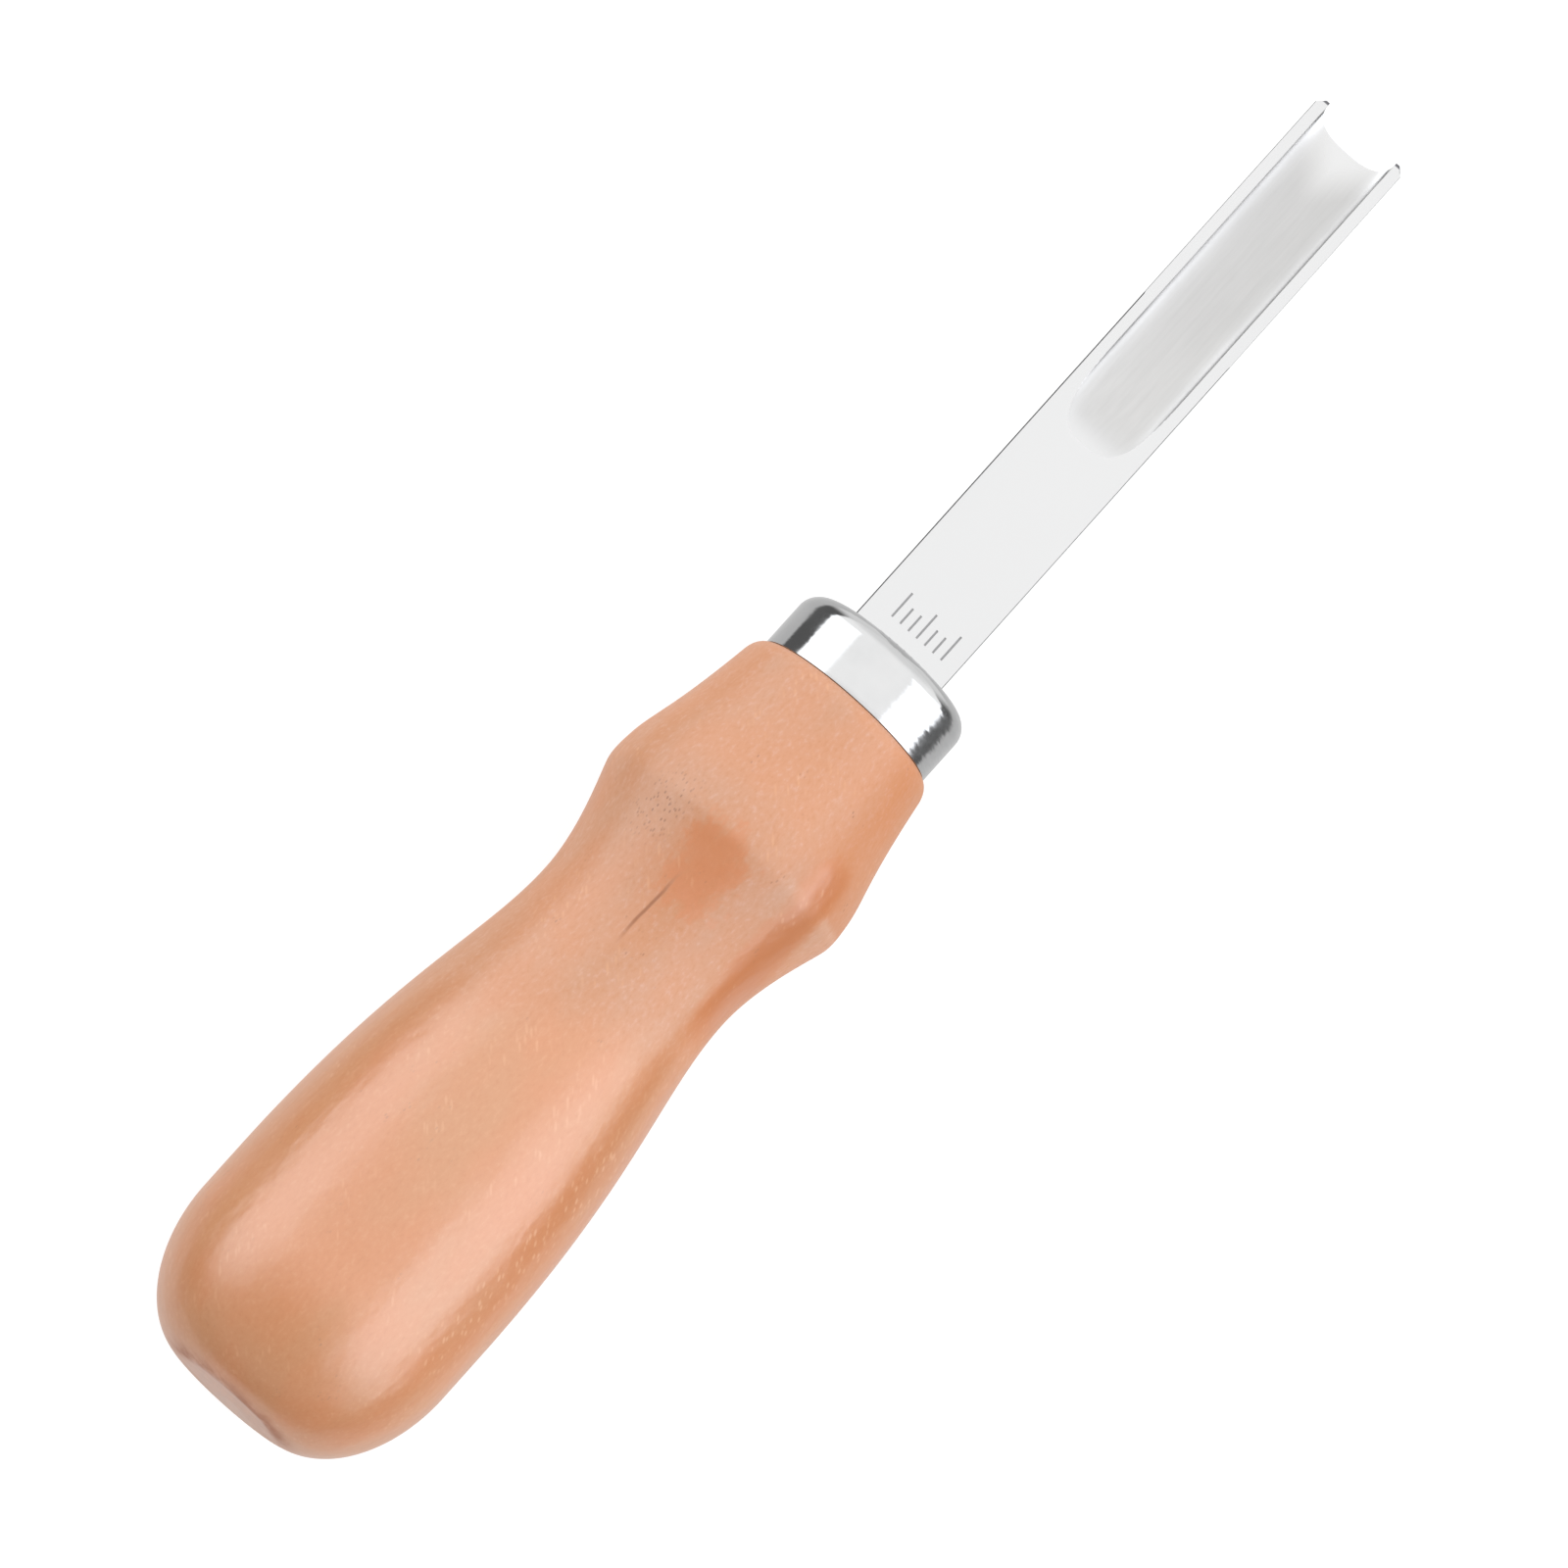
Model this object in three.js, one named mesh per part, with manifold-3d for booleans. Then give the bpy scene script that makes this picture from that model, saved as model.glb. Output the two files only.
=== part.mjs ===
// Edge beveler: a leatherworking hand tool with a turned wooden handle, a drawn metal ferrule and a
// channelled steel blade, whose tang is bedded in the handle with adhesive.
//
// Units are millimetres. +X runs along the tool from the butt to the cutting edge, +Z is the side
// that the channel opens to, and the origin is the centre of the flat butt face.

import * as THREE from 'three';
import { mergeVertices } from 'three/addons/utils/BufferGeometryUtils.js';
import Module from 'manifold-3d';

const wasm = await Module();
wasm.setup();

// ---------------------------------------------------------------- driving dimensions

const CLEARANCE = 0.3; // gap kept between neighbouring pieces
const AROUND = 40; // facets round a turned piece
const ALONG = 8; // steps along each curved stretch of a turned outline

// Handle, from the butt forwards.
const BUTT_FACE_RADIUS = 5.5;
const BUTT_CORNER_LENGTH = 12.7;
const SWELL_RADIUS = 14.1;
const SWELL_END = 17.7;
const WAIST_RADIUS = 10.5;
const WAIST_AT = 54.1;
const SHOULDER_RADIUS = 13.1;
const SHOULDER_AT = 65.9;
const FRONT_RIM_RADIUS = 10.35;
const HANDLE_FRONT = 82.25;
const BORE_RADIUS = 5;
const BORE_BOTTOM = 43.7;

// Ferrule: a cup with a closed front.
const FERRULE_RADIUS = 9.3;
const FERRULE_WALL = 0.8;
const FERRULE_FRONT = 88.8;
const FERRULE_CORNER_RADIUS = 2;

// Blade: a flat bar with a channel ground along its upper side.
const BLADE_TIP = 152.6;
const BLADE_WIDTH = 10.2;
const BLADE_THICKNESS = 2.5;
const CHANNEL_WIDTH = 8;
const CHANNEL_DEPTH = 1.12;
const CHANNEL_REAR = 114.4;
const CHANNEL_RUN_OUT = 14;
const CHANNEL_ROUNDNESS = 2.7; // exponent of the section: 2 is an ellipse, and more is squarer
const BEVEL_ANGLE = THREE.MathUtils.degToRad(28);
const TIP_CHAMFER_LENGTH = 0.7;
const TIP_CHAMFER_WIDTH = 0.8;

// Tang: the bar behind the ferrule's front, tapered both ways.
const TANG_ROOT = { width: 7, thickness: 2.1 };
const TANG_END = { width: 3, thickness: 1.2 };
const TANG_REAR = 46.7;

// Derived places.
const FERRULE_REAR = HANDLE_FRONT + CLEARANCE;
const FERRULE_BORE_RADIUS = FERRULE_RADIUS - FERRULE_WALL;
const FERRULE_INNER_FACE = FERRULE_FRONT - FERRULE_WALL;
const FERRULE_INNER_CORNER = FERRULE_CORNER_RADIUS - FERRULE_WALL;
const TENON_RADIUS = FERRULE_BORE_RADIUS - CLEARANCE;
const TENON_FRONT = FERRULE_INNER_FACE - CLEARANCE;
const TENON_CORNER = FERRULE_INNER_CORNER - CLEARANCE;
const BLADE_SHOULDER = FERRULE_FRONT + CLEARANCE;
const BEVEL_START = BLADE_TIP - BLADE_THICKNESS / Math.tan(BEVEL_ANGLE);

// ---------------------------------------------------------------- materials

const lacqueredWood = new THREE.MeshStandardMaterial({
  color: 0xe8ad8c,
  roughness: 0.35,
  metalness: 0,
});
const chrome = new THREE.MeshStandardMaterial({
  color: 0xe6e6e6,
  roughness: 0.08,
  metalness: 1,
});
const groundSteel = new THREE.MeshStandardMaterial({
  color: 0xd8d8d8,
  roughness: 0.3,
  metalness: 1,
});
const adhesive = new THREE.MeshStandardMaterial({
  color: 0xc9a35c,
  roughness: 0.4,
  metalness: 0,
});

// ---------------------------------------------------------------- solids

// A manifold solid from a closed geometry, which keeps only its positions.
function toSolid(geometry) {
  const bare = geometry.clone();
  bare.deleteAttribute('normal');
  bare.deleteAttribute('uv');
  const merged = mergeVertices(bare);
  return new wasm.Manifold(
    new wasm.Mesh({
      numProp: 3,
      vertProperties: new Float32Array(merged.attributes.position.array),
      triVerts: new Uint32Array(merged.index.array),
    }),
  );
}

function toGeometry(solid) {
  const { vertProperties, triVerts } = solid.getMesh();
  const geometry = new THREE.BufferGeometry();
  geometry.setAttribute('position', new THREE.BufferAttribute(vertProperties, 3));
  geometry.setIndex(new THREE.BufferAttribute(triVerts, 1));
  geometry.computeVertexNormals();
  return geometry;
}

function namedMesh(name, geometry, material) {
  const mesh = new THREE.Mesh(geometry, material);
  mesh.name = name;
  return mesh;
}

// Turns an outline about the X axis. The path holds (radius, distance along X), runs from the axis
// back to the axis, and a flat lies on the underside.
function turned(path) {
  const geometry = new THREE.LatheGeometry(path.getPoints(ALONG), AROUND);
  geometry.rotateZ(-Math.PI / 2);
  geometry.rotateX(Math.PI / AROUND);
  return geometry;
}

// A box that tapers evenly from one rectangle, at X = rear, to another at X = front.
function taperedBar(rear, front, rearSize, frontSize) {
  const geometry = new THREE.BoxGeometry(front - rear, 1, 1);
  geometry.translate((front + rear) / 2, 0, 0);
  const position = geometry.attributes.position;
  for (let i = 0; i < position.count; i += 1) {
    const t = (position.getX(i) - rear) / (front - rear);
    const width = THREE.MathUtils.lerp(rearSize.width, frontSize.width, t);
    const thickness = THREE.MathUtils.lerp(rearSize.thickness, frontSize.thickness, t);
    position.setY(i, position.getY(i) * width);
    position.setZ(i, position.getZ(i) * thickness);
  }
  return geometry;
}

// Skins a row of equal rings, ordered along +X, each counter-clockwise seen from +X.
function loft(rings) {
  const perRing = rings[0].length;
  const lastRing = (rings.length - 1) * perRing;
  const indices = [];
  for (let r = 0; r < rings.length - 1; r += 1) {
    for (let i = 0; i < perRing; i += 1) {
      const a = r * perRing + i;
      const b = r * perRing + ((i + 1) % perRing);
      indices.push(a, b, b + perRing, a, b + perRing, a + perRing);
    }
  }
  const flatRing = rings[0].map((point) => new THREE.Vector2(point.y, point.z));
  for (const [a, b, c] of THREE.ShapeUtils.triangulateShape(flatRing, [])) {
    indices.push(c, b, a);
    indices.push(lastRing + a, lastRing + b, lastRing + c);
  }
  const geometry = new THREE.BufferGeometry().setFromPoints(rings.flat());
  geometry.setIndex(indices);
  return geometry;
}

// ---------------------------------------------------------------- handle

function handleGeometry() {
  const path = new THREE.Path();
  path.moveTo(0, 0);
  path.lineTo(BUTT_FACE_RADIUS, 0);
  path.absellipse(
    BUTT_FACE_RADIUS,
    BUTT_CORNER_LENGTH,
    SWELL_RADIUS - BUTT_FACE_RADIUS,
    BUTT_CORNER_LENGTH,
    -Math.PI / 2,
    0,
    false,
  );
  path.lineTo(SWELL_RADIUS, SWELL_END);
  // Palm swell into the waist.
  path.bezierCurveTo(
    SWELL_RADIUS,
    SWELL_END + 21,
    WAIST_RADIUS,
    WAIST_AT - 8.2,
    WAIST_RADIUS,
    WAIST_AT,
  );
  // Waist up to the shoulder, and over its crisp edge.
  path.bezierCurveTo(
    WAIST_RADIUS,
    WAIST_AT + 4.6,
    SHOULDER_RADIUS - 0.67,
    SHOULDER_AT - 2.4,
    SHOULDER_RADIUS - 0.27,
    SHOULDER_AT - 0.9,
  );
  path.quadraticCurveTo(
    SHOULDER_RADIUS,
    SHOULDER_AT,
    SHOULDER_RADIUS - 0.23,
    SHOULDER_AT + 1.9,
  );
  // Front taper, then the rounded rim that meets the ferrule.
  path.bezierCurveTo(
    SHOULDER_RADIUS - 0.52,
    SHOULDER_AT + 4.9,
    SHOULDER_RADIUS - 1.4,
    SHOULDER_AT + 5.6,
    FRONT_RIM_RADIUS,
    HANDLE_FRONT - 1.6,
  );
  path.quadraticCurveTo(
    FRONT_RIM_RADIUS - 0.25,
    HANDLE_FRONT - 0.3,
    FERRULE_RADIUS,
    HANDLE_FRONT,
  );
  // Tenon inside the ferrule.
  path.lineTo(TENON_RADIUS, HANDLE_FRONT);
  path.lineTo(TENON_RADIUS, TENON_FRONT - TENON_CORNER);
  path.absarc(
    TENON_RADIUS - TENON_CORNER,
    TENON_FRONT - TENON_CORNER,
    TENON_CORNER,
    0,
    Math.PI / 2,
    false,
  );
  // Blind bore for the tang.
  path.lineTo(BORE_RADIUS, TENON_FRONT);
  path.lineTo(BORE_RADIUS, BORE_BOTTOM);
  path.lineTo(0, BORE_BOTTOM);
  return turned(path);
}

// ---------------------------------------------------------------- ferrule

function ferruleGeometry() {
  const path = new THREE.Path();
  path.moveTo(0, FERRULE_INNER_FACE);
  path.lineTo(FERRULE_BORE_RADIUS - FERRULE_INNER_CORNER, FERRULE_INNER_FACE);
  path.absarc(
    FERRULE_BORE_RADIUS - FERRULE_INNER_CORNER,
    FERRULE_INNER_FACE - FERRULE_INNER_CORNER,
    FERRULE_INNER_CORNER,
    Math.PI / 2,
    0,
    true,
  );
  path.lineTo(FERRULE_BORE_RADIUS, FERRULE_REAR);
  path.lineTo(FERRULE_RADIUS, FERRULE_REAR);
  path.lineTo(FERRULE_RADIUS, FERRULE_FRONT - FERRULE_CORNER_RADIUS);
  path.absarc(
    FERRULE_RADIUS - FERRULE_CORNER_RADIUS,
    FERRULE_FRONT - FERRULE_CORNER_RADIUS,
    FERRULE_CORNER_RADIUS,
    0,
    Math.PI / 2,
    false,
  );
  path.lineTo(0, FERRULE_FRONT);

  const slot = new THREE.BoxGeometry(
    4 * FERRULE_WALL,
    TANG_ROOT.width + 2 * CLEARANCE,
    TANG_ROOT.thickness + 2 * CLEARANCE,
  );
  slot.translate(FERRULE_FRONT, 0, 0);
  return toGeometry(toSolid(turned(path)).subtract(toSolid(slot)));
}

// ---------------------------------------------------------------- blade

// The flat bar, with its two front corners cut off, seen from above and extruded upwards.
function bladeBar() {
  const side = BLADE_WIDTH / 2;
  const outline = new THREE.Shape();
  outline.moveTo(BLADE_SHOULDER, -side);
  outline.lineTo(BLADE_TIP - TIP_CHAMFER_LENGTH, -side);
  outline.lineTo(BLADE_TIP, TIP_CHAMFER_WIDTH - side);
  outline.lineTo(BLADE_TIP, side - TIP_CHAMFER_WIDTH);
  outline.lineTo(BLADE_TIP - TIP_CHAMFER_LENGTH, side);
  outline.lineTo(BLADE_SHOULDER, side);
  const bar = new THREE.ExtrudeGeometry(outline, { depth: BLADE_THICKNESS, bevelEnabled: false });
  bar.translate(0, 0, -BLADE_THICKNESS / 2);
  return bar;
}

// Height of the channel's section above its lowest line, at a distance y from its middle.
function channelRise(y) {
  const u = Math.min(1, Math.abs(y) / (CHANNEL_WIDTH / 2));
  return CHANNEL_DEPTH * (1 - (1 - u ** CHANNEL_ROUNDNESS) ** (1 / CHANNEL_ROUNDNESS));
}

// What the grinding wheel takes away: the channel's section swept along the bar, and lifted out on
// the wheel's own arc at the rear.
function channelCutter() {
  const steps = 16;
  const section = [];
  for (let i = 0; i <= steps; i += 1) {
    // Even steps of angle bring the points closer together where the walls stand up.
    const y = (-CHANNEL_WIDTH / 2) * Math.cos((Math.PI * i) / steps);
    section.push({ y, z: channelRise(y) });
  }
  const headroom = 2 * CHANNEL_DEPTH;
  section.push({ y: CHANNEL_WIDTH / 2, z: headroom });
  section.push({ y: -CHANNEL_WIDTH / 2, z: headroom });

  const floor = BLADE_THICKNESS / 2 - CHANNEL_DEPTH;
  const wheelRadius = (CHANNEL_RUN_OUT ** 2 + CHANNEL_DEPTH ** 2) / (2 * CHANNEL_DEPTH);
  const runOutEnd = CHANNEL_REAR + CHANNEL_RUN_OUT;
  const runOutSteps = 8;
  const stations = [];
  for (let i = 0; i <= runOutSteps; i += 1) {
    const behind = CHANNEL_RUN_OUT * (1 - i / runOutSteps);
    const lift = wheelRadius - Math.sqrt(wheelRadius ** 2 - behind ** 2);
    stations.push({ x: runOutEnd - behind, lift });
  }
  stations.push({ x: BLADE_TIP + 1, lift: 0 });
  return loft(
    stations.map(({ x, lift }) =>
      section.map(({ y, z }) => new THREE.Vector3(x, y, floor + lift + z)),
    ),
  );
}

// The wedge under the cutting edge: its upper side is the bevel.
function bevelCutter() {
  const reach = 2 * (BLADE_TIP - BEVEL_START);
  const bottom = -BLADE_THICKNESS / 2;
  const side = new THREE.Shape();
  side.moveTo(BEVEL_START, bottom);
  side.lineTo(BEVEL_START, bottom - 1);
  side.lineTo(BEVEL_START + reach, bottom - 1);
  side.lineTo(BEVEL_START + reach, bottom + reach * Math.tan(BEVEL_ANGLE));
  const wedge = new THREE.ExtrudeGeometry(side, { depth: 2 * BLADE_WIDTH, bevelEnabled: false });
  wedge.rotateX(Math.PI / 2);
  wedge.translate(0, BLADE_WIDTH, 0);
  return wedge;
}

function bladeGeometry() {
  const tang = taperedBar(TANG_REAR, BLADE_SHOULDER + 1, TANG_END, TANG_ROOT);
  const blade = toSolid(bladeBar())
    .add(toSolid(tang))
    .subtract(toSolid(channelCutter()))
    .subtract(toSolid(bevelCutter()));
  return toGeometry(blade);
}

// ---------------------------------------------------------------- adhesive round the tang

function adhesiveGeometry() {
  const radius = BORE_RADIUS - CLEARANCE;
  const rear = BORE_BOTTOM + CLEARANCE;
  const path = new THREE.Path();
  path.moveTo(0, rear);
  path.lineTo(radius, rear);
  path.lineTo(radius, TENON_FRONT);
  path.lineTo(0, TENON_FRONT);

  const loosened = ({ width, thickness }) => ({
    width: width + 2 * CLEARANCE,
    thickness: thickness + 2 * CLEARANCE,
  });
  const pocket = taperedBar(
    TANG_REAR - CLEARANCE,
    BLADE_SHOULDER,
    loosened(TANG_END),
    loosened(TANG_ROOT),
  );
  return toGeometry(toSolid(turned(path)).subtract(toSolid(pocket)));
}

// ---------------------------------------------------------------- assembly

const edgeBeveler = new THREE.Group();
edgeBeveler.add(
  namedMesh('handle', handleGeometry(), lacqueredWood),
  namedMesh('ferrule', ferruleGeometry(), chrome),
  namedMesh('blade', bladeGeometry(), groundSteel),
  namedMesh('tang_adhesive', adhesiveGeometry(), adhesive),
);

export default edgeBeveler;
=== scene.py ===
import math

import bmesh
import bpy
from mathutils import Matrix, Vector, noise


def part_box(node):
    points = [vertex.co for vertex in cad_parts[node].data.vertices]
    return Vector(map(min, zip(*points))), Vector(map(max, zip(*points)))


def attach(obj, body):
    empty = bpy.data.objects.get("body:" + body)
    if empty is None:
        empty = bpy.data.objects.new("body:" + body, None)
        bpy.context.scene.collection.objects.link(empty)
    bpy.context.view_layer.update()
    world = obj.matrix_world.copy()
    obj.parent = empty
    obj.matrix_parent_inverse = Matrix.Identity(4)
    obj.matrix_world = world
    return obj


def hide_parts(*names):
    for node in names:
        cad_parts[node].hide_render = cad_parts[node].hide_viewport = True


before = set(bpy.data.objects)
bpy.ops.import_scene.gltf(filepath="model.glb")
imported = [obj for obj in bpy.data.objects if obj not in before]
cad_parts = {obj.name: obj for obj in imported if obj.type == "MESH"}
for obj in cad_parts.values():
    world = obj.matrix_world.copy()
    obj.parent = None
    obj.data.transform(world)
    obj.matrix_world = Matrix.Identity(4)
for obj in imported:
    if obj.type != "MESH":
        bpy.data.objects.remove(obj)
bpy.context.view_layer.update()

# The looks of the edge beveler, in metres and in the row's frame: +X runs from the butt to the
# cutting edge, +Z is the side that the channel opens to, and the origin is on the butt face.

MM = 0.001

# ---------------------------------------------------------------- sizes

# Places that the frame gives.
TENON_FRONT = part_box("handle")[1].x
FERRULE_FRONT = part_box("ferrule")[1].x
TANG_REAR, BLADE_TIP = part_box("blade")[0].x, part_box("blade")[1].x
BLADE_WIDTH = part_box("blade")[1].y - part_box("blade")[0].y
BLADE_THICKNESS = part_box("blade")[1].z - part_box("blade")[0].z
SEAT_GAP = 0.03 * MM  # what shows between pieces that touch
TURNED_SIDES = 192  # facets round the handle and the ferrule

# Handle.
BUTT_FACE_RADIUS = 5.5 * MM
BUTT_CORNER_LENGTH = 12.7 * MM
SWELL_RADIUS = 14.1 * MM
SWELL_END = 17.7 * MM
WAIST_RADIUS = 10.5 * MM
WAIST_AT = 54.1 * MM
SHOULDER_RADIUS = 13.1 * MM
SHOULDER_AT = 65.9 * MM
SHOULDER_START = (SHOULDER_AT - 0.9 * MM, SHOULDER_RADIUS - 0.27 * MM)  # where its crest begins
FRONT_RIM_RADIUS = 10.35 * MM
HANDLE_FRONT = 82.25 * MM
BORE_RADIUS = 5 * MM
BORE_BOTTOM = 43.7 * MM

# Ferrule.
FERRULE_RADIUS = 9.3 * MM
FERRULE_WALL = 0.8 * MM
FERRULE_CORNER_RADIUS = 2 * MM

# Blade.
CHANNEL_WIDTH = 8 * MM
CHANNEL_DEPTH = 1.12 * MM
CHANNEL_REAR = 114.4 * MM
CHANNEL_RUN_OUT = 14 * MM
CHANNEL_ROUNDNESS = 2.7
BEVEL_ANGLE = math.radians(28)
TIP_CHAMFER_LENGTH = 0.7 * MM
TIP_CHAMFER_WIDTH = 0.8 * MM
TANG_ROOT = (7 * MM, 2.1 * MM)
TANG_END = (3 * MM, 1.2 * MM)

# The scale engraved across the blade, just ahead of the ferrule.
SCALE_AT = 91.4 * MM
SCALE_PITCH = 0.97 * MM
SCALE_MARKS = 7
SCALE_OFFSET = -0.4 * MM
LONG_MARK = 2.8 * MM
SHORT_MARK = 1.8 * MM
MARK_WIDTH = 0.2 * MM
MARK_DEPTH = 0.05 * MM

# ---------------------------------------------------------------- curves and meshes


def bezier(points, steps):
    """Points of a quadratic or cubic Bezier curve, without its first point."""
    made = []
    for i in range(1, steps + 1):
        level = [Vector(p) for p in points]
        while len(level) > 1:
            level = [a.lerp(b, i / steps) for a, b in zip(level, level[1:])]
        made.append(level[0])
    return made


def arc(centre, radii, start, end, steps):
    """Points of an elliptical arc, without its first point; angles in degrees from the first axis."""
    made = []
    for i in range(1, steps + 1):
        angle = math.radians(start + (end - start) * i / steps)
        made.append(
            Vector((centre[0] + radii[0] * math.cos(angle), centre[1] + radii[1] * math.sin(angle)))
        )
    return made


def straight(start, end, steps):
    """Points of a straight line, without its first point."""
    return [Vector(start).lerp(Vector(end), i / steps) for i in range(1, steps + 1)]


def new_object(name, data):
    """A new object with this mesh or camera, linked to the scene."""
    made = bpy.data.objects.new(name, data)
    bpy.context.scene.collection.objects.link(made)
    return made


def from_bmesh(name, shape):
    """A new object from a bmesh, which is freed."""
    mesh = bpy.data.meshes.new(name)
    shape.to_mesh(mesh)
    shape.free()
    return new_object(name, mesh)


def turn(outline, around):
    """A closed bmesh turned about X. The outline holds (x, radius) and starts and ends on the axis."""
    shape = bmesh.new()
    rings = []
    for x, radius in outline[1:-1]:
        ring = []
        for i in range(around):
            angle = 2 * math.pi * i / around
            ring.append(shape.verts.new((x, radius * math.cos(angle), radius * math.sin(angle))))
        rings.append(ring)
    first = shape.verts.new((outline[0][0], 0, 0))
    last = shape.verts.new((outline[-1][0], 0, 0))
    for i in range(around):
        j = (i + 1) % around
        shape.faces.new((first, rings[0][j], rings[0][i]))
        shape.faces.new((last, rings[-1][i], rings[-1][j]))
        for ring, following in zip(rings, rings[1:]):
            shape.faces.new((ring[i], ring[j], following[j], following[i]))
    bmesh.ops.recalc_face_normals(shape, faces=shape.faces)
    return shape


def shade(thing, sharp_degrees):
    """Smooth shading, with edges sharper than the angle kept crisp."""
    shape = bmesh.new()
    shape.from_mesh(thing.data)
    for face in shape.faces:
        face.smooth = True
    for edge in shape.edges:
        turned = edge.calc_face_angle(0) if len(edge.link_faces) == 2 else math.pi
        edge.smooth = turned < math.radians(sharp_degrees)
    shape.to_mesh(thing.data)
    shape.free()


def cut(thing, cutter):
    """Subtracts cutter from thing, keeps the cutter's material on the new faces, and removes it."""
    step = thing.modifiers.new("cut", "BOOLEAN")
    step.operation = "DIFFERENCE"
    step.solver = "EXACT"
    step.material_mode = "TRANSFER"
    step.object = cutter
    bpy.context.view_layer.update()
    evaluated = thing.evaluated_get(bpy.context.evaluated_depsgraph_get())
    old = thing.data
    thing.data = bpy.data.meshes.new_from_object(evaluated)
    thing.modifiers.clear()
    bpy.data.meshes.remove(old)
    bpy.data.objects.remove(cutter)


def block(name, centre, size):
    """A plain box, used only to cut with."""
    shape = bmesh.new()
    bmesh.ops.create_cube(shape, size=1)
    bmesh.ops.scale(shape, vec=size, verts=shape.verts)
    bmesh.ops.translate(shape, vec=centre, verts=shape.verts)
    return from_bmesh(name, shape)


# ---------------------------------------------------------------- material helpers


def put(tree, kind, inputs=None, **settings):
    """Adds a node. Each input is a value, or a socket to link from."""
    made = tree.nodes.new(kind)
    for name, value in settings.items():
        setattr(made, name, value)
    for key, value in (inputs or {}).items():
        if isinstance(value, bpy.types.NodeSocket):
            tree.links.new(value, made.inputs[key])
        else:
            made.inputs[key].default_value = value
    return made


def maths(tree, operation, first, second=0.0):
    """One arithmetic operation on one or two values."""
    return put(tree, "ShaderNodeMath", {0: first, 1: second}, operation=operation).outputs[0]


def ease(tree, value, low, high, to_low=0.0, to_high=1.0):
    """A smooth step of value, from to_low at low to to_high at high."""
    inputs = {"Value": value, 1: low, 2: high, 3: to_low, 4: to_high}
    kind = "ShaderNodeMapRange"
    return put(tree, kind, inputs, interpolation_type="SMOOTHSTEP").outputs[0]


def blend(tree, factor, first, second, mode="MIX"):
    """The colour that goes from first to second as factor goes from 0 to 1."""
    inputs = {0: factor, 6: first, 7: second}
    made = put(tree, "ShaderNodeMix", inputs, data_type="RGBA", blend_type=mode)
    return made.outputs[2]


def place(tree, scale=(1, 1, 1), offset=(0, 0, 0), slant=0.0):
    """Object coordinates in metres, turned about Z by so many degrees and then scaled."""
    vector = put(tree, "ShaderNodeTexCoord").outputs["Object"]
    if slant:
        inputs = {"Vector": vector, "Rotation": (0, 0, math.radians(slant))}
        vector = put(tree, "ShaderNodeMapping", inputs).outputs[0]
    inputs = {"Vector": vector, "Location": offset, "Scale": scale}
    return put(tree, "ShaderNodeMapping", inputs).outputs[0]


def axes_of(tree):
    """The object's own X, Y and Z in metres: along the tool, across it to the left, and up."""
    return tuple(put(tree, "ShaderNodeSeparateXYZ", {0: place(tree)}).outputs)


def grain(tree, scale, detail=3.0, roughness=0.5, offset=(0, 0, 0)):
    """Noise with so many cells a metre along X, Y and Z."""
    inputs = {
        "Vector": place(tree, scale, offset),
        "Scale": 1.0,
        "Detail": detail,
        "Roughness": roughness,
    }
    return put(tree, "ShaderNodeTexNoise", inputs).outputs[0]


def specks(tree, scale, size, offset=(0, 0, 0), slant=0.0):
    """Small soft spots, 1 in their middle, with so many cells a metre and a size in cells."""
    inputs = {"Vector": place(tree, scale, offset, slant), "Scale": 1.0}
    from_middle = put(tree, "ShaderNodeTexVoronoi", inputs).outputs["Distance"]
    return ease(tree, from_middle, size, size * 0.4)


def product(tree, *values):
    """All the values multiplied together."""
    made = values[0]
    for value in values[1:]:
        made = maths(tree, "MULTIPLY", made, value)
    return made


def window(tree, value, low, high, soft):
    """1 between low and high, falling softly to 0 outside them."""
    rise = ease(tree, value, low - soft, low + soft)
    fall = ease(tree, value, high + soft, high - soft)
    return product(tree, rise, fall)


def length_of(tree, first, second):
    """The length of a vector with these two components."""
    squares = maths(tree, "ADD", product(tree, first, first), product(tree, second, second))
    return maths(tree, "SQRT", squares)


def bumped(tree, height, depth, strength=1.0, normal=None):
    """The normal of a surface that stands up by depth, in metres, where height is 1."""
    inputs = {"Height": height, "Distance": depth, "Strength": strength}
    if normal is not None:
        inputs["Normal"] = normal
    return put(tree, "ShaderNodeBump", inputs).outputs[0]


def new_material(name):
    """A new material, with its node tree and its shader."""
    made = bpy.data.materials.new(name)
    made.use_nodes = True
    shader = made.node_tree.nodes["Principled BSDF"]
    return made, made.node_tree, shader


def feed(tree, shader, **inputs):
    """Sets the shader's sockets by name, with _ for a space."""
    for name, value in inputs.items():
        socket = shader.inputs[name.replace("_", " ")]
        if isinstance(value, bpy.types.NodeSocket):
            tree.links.new(value, socket)
        else:
            socket.default_value = value


# ---------------------------------------------------------------- materials


# Colours of the wood, in linear light.
ORANGE = (0.545, 0.2, 0.068, 1)
TAN = (0.52, 0.218, 0.084, 1)
PALE = (0.6, 0.285, 0.137, 1)
DEEP = (0.47, 0.15, 0.036, 1)
# Painted shade, for the shoulder's rear slope.
SHOULDER_SHADE_COLOUR = (0.56, 0.165, 0.042, 1)
STREAK_COLOUR = (0.49, 0.145, 0.03, 1)
RAY_COLOUR = (0.78, 0.46, 0.27, 1)
PORE_COLOUR = (0.2, 0.085, 0.04, 1)
LINE_COLOUR = (0.25, 0.09, 0.04, 1)
END_GRAIN_COLOUR = (0.4, 0.15, 0.06, 1)
# Painted shade, for the butt's rim.
RIM_SHADE_COLOUR = (0.3, 0.085, 0.03, 1)
# Part of the bare wood's paleness is a painted sheen, standing in for the lacquer's reflection of the
# bright room.
BARE_AND_SHEEN_GAIN = (1.05, 1.45, 2.6, 1)  # the bare wood's colour, divided by that of the lacquered wood


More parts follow.
